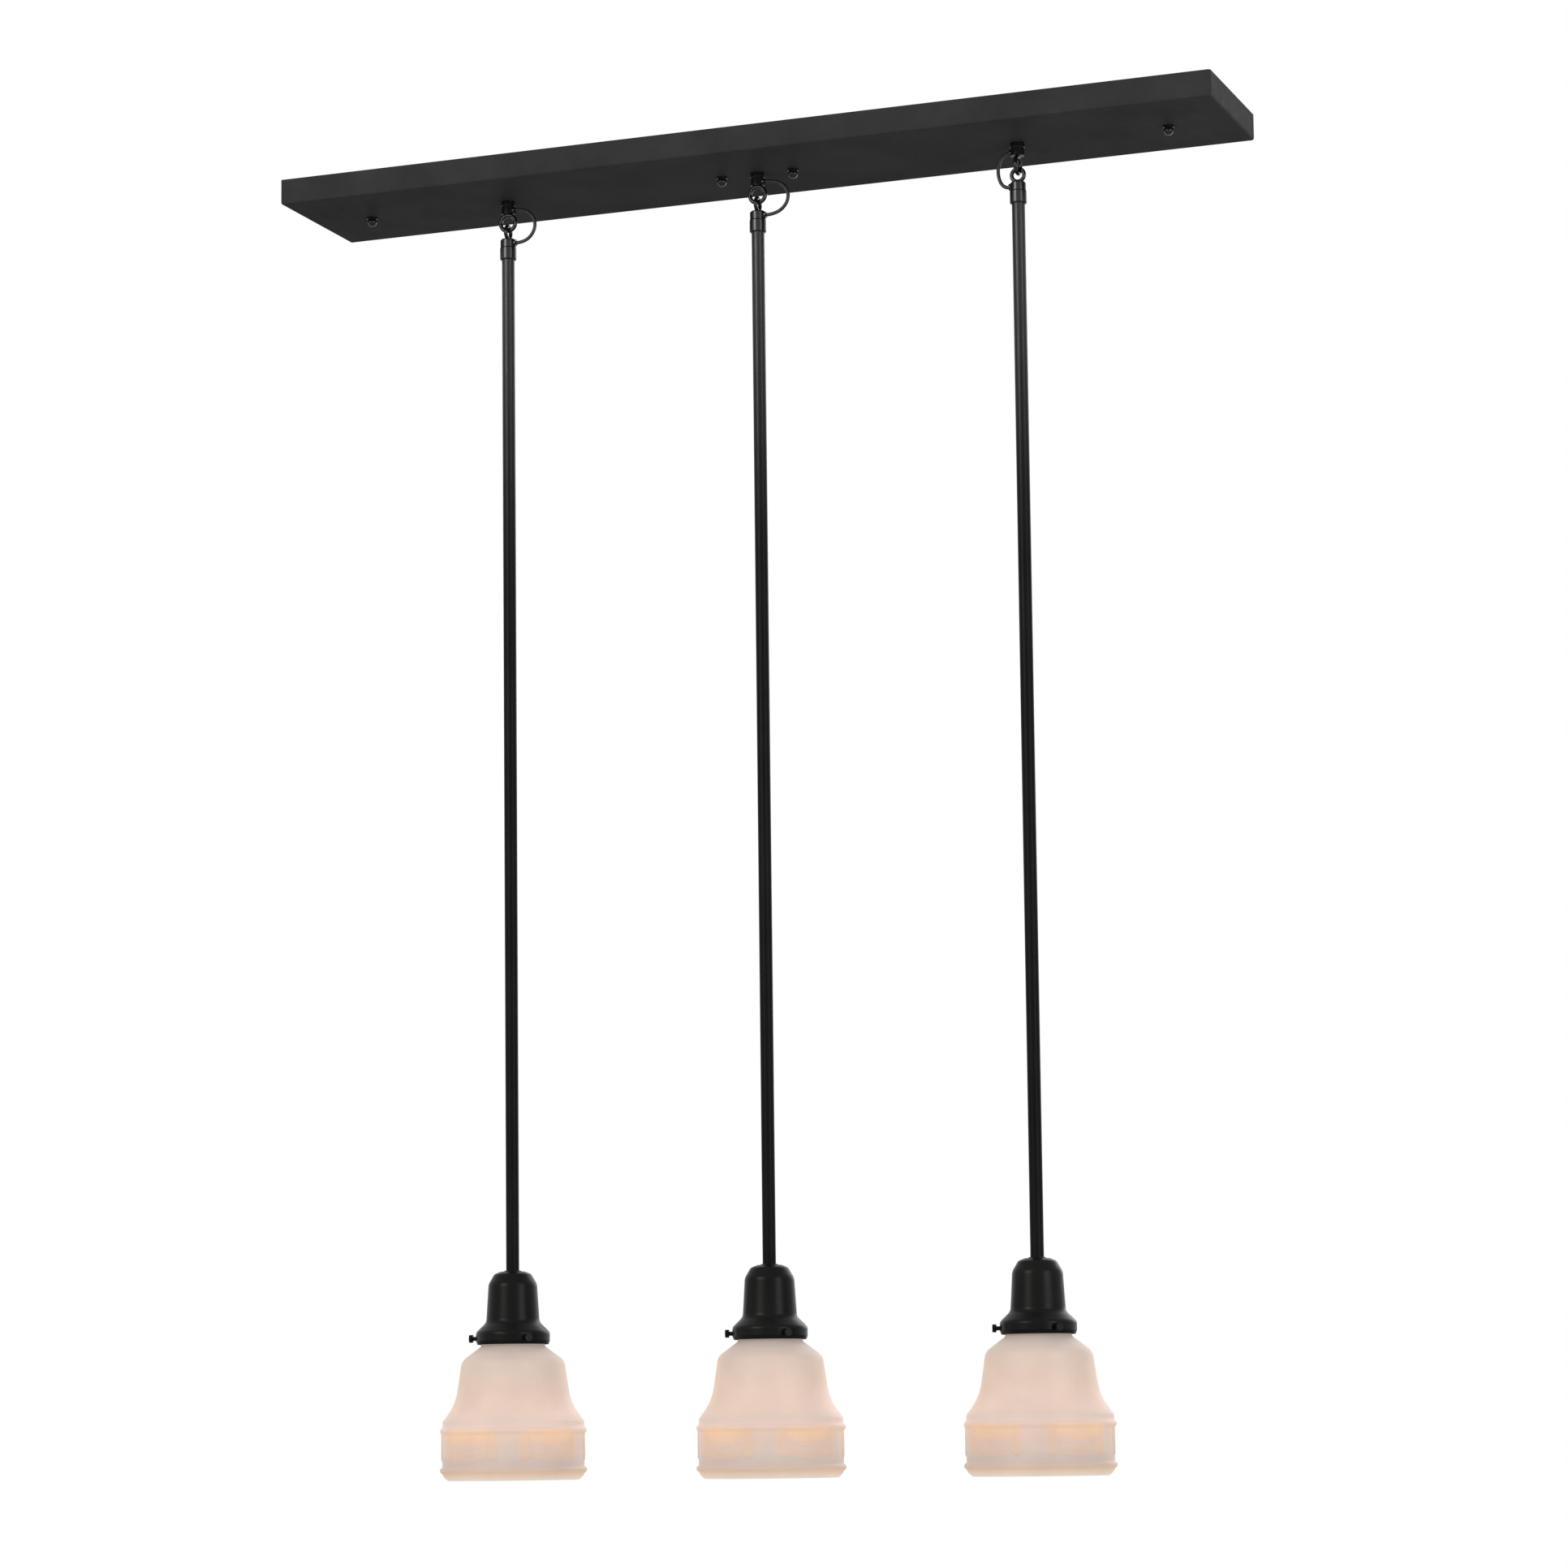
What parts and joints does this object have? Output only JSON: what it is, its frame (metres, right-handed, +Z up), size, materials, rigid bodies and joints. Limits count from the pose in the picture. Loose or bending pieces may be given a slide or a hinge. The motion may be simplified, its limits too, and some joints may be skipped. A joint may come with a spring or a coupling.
{
  "type": "linear island pendant",
  "caption": "Linear ceiling canopy carrying straight rods on interlocked loops, each rod ending in a cup holder with thumb screws and a festooned opal glass shade, lit.",
  "frame": {"origin": "centre of the canopy's open rim, in the ceiling plane", "axes": "+X along the canopy, +Y away from the viewer, +Z up into the ceiling"},
  "size_m": [0.838, 0.14, 1.1291],
  "materials": {
    "canopy_paint": "satin black-bronze powder coat",
    "rod_paint": "satin black-bronze",
    "holder_paint": "satin black-bronze",
    "black_hardware": "semi-gloss black-bronze",
    "zinc_steel": "zinc plated",
    "green_screw": "green",
    "black_lead": "matte",
    "nut_plastic": "moulded",
    "socket_black": "moulded",
    "socket_brass": "drawn",
    "opal_glass": "opal, gloss",
    "bulb_white": "frosted",
    "bulb_metal": "rolled"
  },
  "bodies": {
    "fixture": {"canopy": "canopy_paint", "mounting_strap": "zinc_steel", "strap_studs": "zinc_steel", "stud_jam_nuts": "zinc_steel", "ball_nuts": "black_hardware", "ground_screw": "green_screw", "stem_lock_washers": "zinc_steel", "stem_lock_nuts": "zinc_steel", "loop_collars": "black_hardware", "canopy_leads": "black_lead", "wire_nuts": "nut_plastic", "upper_loop_1": "black_hardware", "upper_loop_2": "black_hardware", "upper_loop_3": "black_hardware"},
    "swing_1": {"loop_wire_1": "black_lead"},
    "pendant_1": {"lower_loop_1": "black_hardware", "coupling_1": "black_hardware", "rod_1": "rod_paint", "shade_holder_1": "holder_paint", "holder_nut_1": "zinc_steel", "socket_body_1": "socket_black", "socket_shell_1": "socket_brass", "rod_lead_1": "black_lead", "shade_1": "opal_glass"},
    "screw_1a": {"thumb_screw_1a": "holder_paint"},
    "screw_1b": {"thumb_screw_1b": "holder_paint"},
    "screw_1c": {"thumb_screw_1c": "holder_paint"},
    "bulb_1": {"bulb_glass_1": "bulb_white", "bulb_base_1": "bulb_metal"},
    "swing_2": {"loop_wire_2": "black_lead"},
    "pendant_2": {"lower_loop_2": "black_hardware", "coupling_2": "black_hardware", "rod_2": "rod_paint", "shade_holder_2": "holder_paint", "holder_nut_2": "zinc_steel", "socket_body_2": "socket_black", "socket_shell_2": "socket_brass", "rod_lead_2": "black_lead", "shade_2": "opal_glass"},
    "screw_2a": {"thumb_screw_2a": "holder_paint"},
    "screw_2b": {"thumb_screw_2b": "holder_paint"},
    "screw_2c": {"thumb_screw_2c": "holder_paint"},
    "bulb_2": {"bulb_glass_2": "bulb_white", "bulb_base_2": "bulb_metal"},
    "swing_3": {"loop_wire_3": "black_lead"},
    "pendant_3": {"lower_loop_3": "black_hardware", "coupling_3": "black_hardware", "rod_3": "rod_paint", "shade_holder_3": "holder_paint", "holder_nut_3": "zinc_steel", "socket_body_3": "socket_black", "socket_shell_3": "socket_brass", "rod_lead_3": "black_lead", "shade_3": "opal_glass"},
    "screw_3a": {"thumb_screw_3a": "holder_paint"},
    "screw_3b": {"thumb_screw_3b": "holder_paint"},
    "screw_3c": {"thumb_screw_3c": "holder_paint"},
    "bulb_3": {"bulb_glass_3": "bulb_white", "bulb_base_3": "bulb_metal"}
  },
  "joints": [
    {"name": "pendant_1_swings_front_to_back", "type": "hinge", "parent": "fixture", "child": "swing_1", "pos_m": [-0.233, 0, -0.0478], "axis": [1, 0, 0], "range_deg": [-30, 30], "deforming": ["loop_wire_1"]},
    {"name": "pendant_1_swings_sideways", "type": "hinge", "parent": "swing_1", "child": "pendant_1", "pos_m": [-0.233, 0, -0.044], "axis": [0, 1, 0], "range_deg": [-2.5, 25], "deforming": ["loop_wire_1"]},
    {"name": "thumb_screw_1a_backs_out", "type": "slide", "parent": "pendant_1", "child": "screw_1a", "axis": [-0.9659, -0.2588, 0], "range_m": [0, 0.004]},
    {"name": "thumb_screw_1b_backs_out", "type": "slide", "parent": "pendant_1", "child": "screw_1b", "axis": [0.7071, -0.7071, 0], "range_m": [0, 0.004]},
    {"name": "thumb_screw_1c_backs_out", "type": "slide", "parent": "pendant_1", "child": "screw_1c", "axis": [0.2588, 0.9659, 0], "range_m": [0, 0.004]},
    {"name": "bulb_1_draws_out", "type": "slide", "parent": "pendant_1", "child": "bulb_1", "axis": [0, 0, -1], "range_m": [0, 0.03]},
    {"name": "pendant_2_swings_front_to_back", "type": "hinge", "parent": "fixture", "child": "swing_2", "pos_m": [0, 0, -0.0478], "axis": [1, 0, 0], "range_deg": [-30, 30], "deforming": ["loop_wire_2"]},
    {"name": "pendant_2_swings_sideways", "type": "hinge", "parent": "swing_2", "child": "pendant_2", "pos_m": [0, 0, -0.044], "axis": [0, 1, 0], "range_deg": [-2.5, 2.5], "deforming": ["loop_wire_2"]},
    {"name": "thumb_screw_2a_backs_out", "type": "slide", "parent": "pendant_2", "child": "screw_2a", "axis": [-0.9659, -0.2588, 0], "range_m": [0, 0.004]},
    {"name": "thumb_screw_2b_backs_out", "type": "slide", "parent": "pendant_2", "child": "screw_2b", "axis": [0.7071, -0.7071, 0], "range_m": [0, 0.004]},
    {"name": "thumb_screw_2c_backs_out", "type": "slide", "parent": "pendant_2", "child": "screw_2c", "axis": [0.2588, 0.9659, 0], "range_m": [0, 0.004]},
    {"name": "bulb_2_draws_out", "type": "slide", "parent": "pendant_2", "child": "bulb_2", "axis": [0, 0, -1], "range_m": [0, 0.03]},
    {"name": "pendant_3_swings_sideways", "type": "hinge", "parent": "fixture", "child": "swing_3", "pos_m": [0.233, 0, -0.0478], "axis": [0, 1, 0], "range_deg": [-25, 2.5], "deforming": ["loop_wire_3"]},
    {"name": "pendant_3_swings_front_to_back", "type": "hinge", "parent": "swing_3", "child": "pendant_3", "pos_m": [0.233, 0, -0.044], "axis": [1, 0, 0], "range_deg": [-30, 30], "deforming": ["loop_wire_3"]},
    {"name": "thumb_screw_3a_backs_out", "type": "slide", "parent": "pendant_3", "child": "screw_3a", "axis": [-0.9659, -0.2588, 0], "range_m": [0, 0.004]},
    {"name": "thumb_screw_3b_backs_out", "type": "slide", "parent": "pendant_3", "child": "screw_3b", "axis": [0.7071, -0.7071, 0], "range_m": [0, 0.004]},
    {"name": "thumb_screw_3c_backs_out", "type": "slide", "parent": "pendant_3", "child": "screw_3c", "axis": [0.2588, 0.9659, 0], "range_m": [0, 0.004]},
    {"name": "bulb_3_draws_out", "type": "slide", "parent": "pendant_3", "child": "bulb_3", "axis": [0, 0, -1], "range_m": [0, 0.03]}
  ]
}
